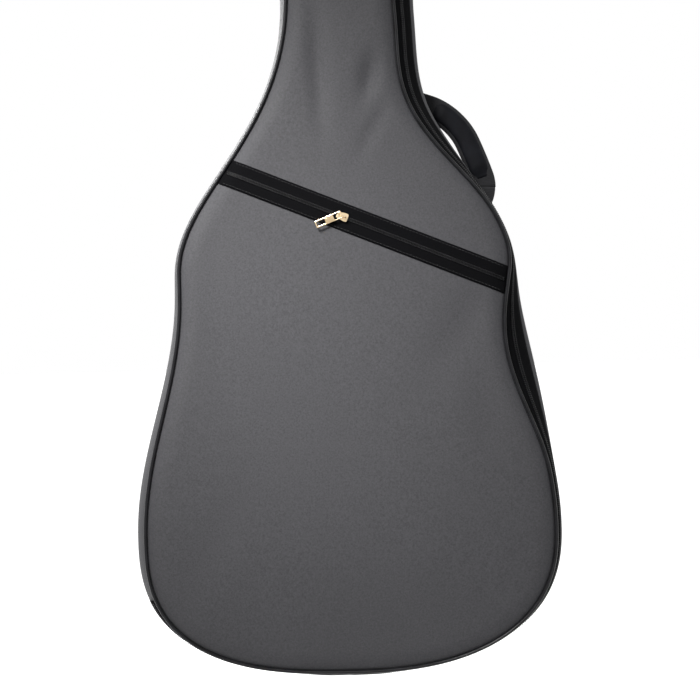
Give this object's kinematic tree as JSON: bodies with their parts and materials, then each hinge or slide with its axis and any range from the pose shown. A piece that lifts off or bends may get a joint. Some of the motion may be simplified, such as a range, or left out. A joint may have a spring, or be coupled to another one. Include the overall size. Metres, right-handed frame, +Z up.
{
  "type": "padded gig bag",
  "caption": "Soft padded bag for an acoustic guitar, with a diagonal zipped pocket on its front, a zipped folding front panel, a side handle and two shoulder straps.",
  "frame": {"origin": "inner crown of the hang loop, where the hook bears", "axes": "+Z up along the neck, front panel faces -Y, +X towards the side with the zip and handle"},
  "size_m": [0.4253, 0.1384, 1.1024],
  "materials": {
    "grey_fabric": "dark grey polyester oxford, fine twill weave, satin sheen",
    "zip_tape": "black woven zip tape, matt",
    "black_webbing": "black ribbed webbing, matt",
    "black_vinyl": "black vinyl, semi-gloss",
    "black_plastic": "black nylon, satin",
    "lining": "black brushed lining, matt",
    "foam": "grey polyethylene foam, matt",
    "gold_metal": "champagne gold plated, polished"
  },
  "bodies": {
    "bag": {"back_panel": "grey_fabric", "back_foam": "foam", "back_lining": "lining", "back_piping": "black_vinyl", "gusset_fold_fabric": "grey_fabric", "gusset_fold_foam": "foam", "gusset_fold_lining": "lining", "gusset_zip_fabric": "grey_fabric", "gusset_zip_foam": "foam", "gusset_zip_lining": "lining", "fold_strip_upper": "grey_fabric", "fold_strip_lower": "grey_fabric", "fold_strip_foam": "foam", "fold_strip_lining": "lining", "fold_strip_piping": "black_vinyl", "main_tape_rear": "zip_tape", "main_coil_rear": "black_plastic", "main_tape_base_end": "zip_tape", "main_tape_top_end": "zip_tape", "main_coil_ends": "black_plastic", "main_slider": "gold_metal", "pocket_tape_end": "zip_tape", "pocket_coil_end": "black_plastic", "handle_end_top": "black_webbing", "handle_end_base": "black_webbing", "strap_tab_right": "black_webbing", "strap_tab_left": "black_webbing", "strap_patch": "black_vinyl", "hang_loop": "black_webbing", "loop_foot": "black_webbing", "neck_rest": "lining", "end_pad": "lining"},
    "flap": {"front_upper_panel": "grey_fabric", "pocket_panel": "grey_fabric", "pocket_backing": "lining", "flap_foam": "foam", "flap_lining": "lining", "flap_piping": "black_vinyl", "main_tape_front": "zip_tape", "main_coil_front": "black_plastic", "pocket_tape_upper": "zip_tape", "pocket_tape_lower": "zip_tape", "pocket_coil_upper": "black_plastic", "pocket_coil_lower": "black_plastic"},
    "pocket_slider": {"pocket_slider": "gold_metal"},
    "pocket_pull": {"pocket_pull": "gold_metal"},
    "main_pull": {"main_pull": "gold_metal"},
    "handle": {"handle_webbing": "black_webbing", "handle_grip": "black_vinyl"},
    "strap_right": {"strap_pad_right": "grey_fabric", "strap_lock_right": "black_plastic", "strap_web_right": "black_webbing"},
    "strap_left": {"strap_pad_left": "grey_fabric", "strap_lock_left": "black_plastic", "strap_web_left": "black_webbing"}
  },
  "joints": [
    {"name": "front_flap", "type": "hinge", "parent": "bag", "child": "flap", "pos_m": [-0.11474, -0.0708, -0.798], "axis": [-0.1812, 0, -0.9835], "range_deg": [0, 150]},
    {"name": "pocket_zip", "type": "slide", "parent": "flap", "child": "pocket_slider", "axis": [0.9252, 0, -0.3795], "range_m": [-0.056, 0.15]},
    {"name": "pocket_pull_flip", "type": "hinge", "parent": "pocket_slider", "child": "pocket_pull", "pos_m": [-0.00309, -0.0727, -0.62912], "axis": [-0.3697, 0, 0.9291], "range_deg": [0, 65]},
    {"name": "main_pull_flip", "type": "hinge", "parent": "bag", "child": "main_pull", "pos_m": [-0.00135, -0.0535, -0.02915], "axis": [0, 1, 0], "range_deg": [0, 150]},
    {"name": "handle_swing", "type": "hinge", "parent": "bag", "child": "handle", "pos_m": [0.08014, 0.006, -0.49216], "axis": [0.5139, 0, -0.8579], "range_deg": [-36, 36]},
    {"name": "strap_right_swing", "type": "hinge", "parent": "bag", "child": "strap_right", "pos_m": [0.076, 0.054, -0.506], "axis": [0.1739, 0, -0.9848], "range_deg": [0, 90]},
    {"name": "strap_left_swing", "type": "hinge", "parent": "bag", "child": "strap_left", "pos_m": [-0.076, 0.054, -0.506], "axis": [0.1739, 0, 0.9848], "range_deg": [0, 90]}
  ]
}
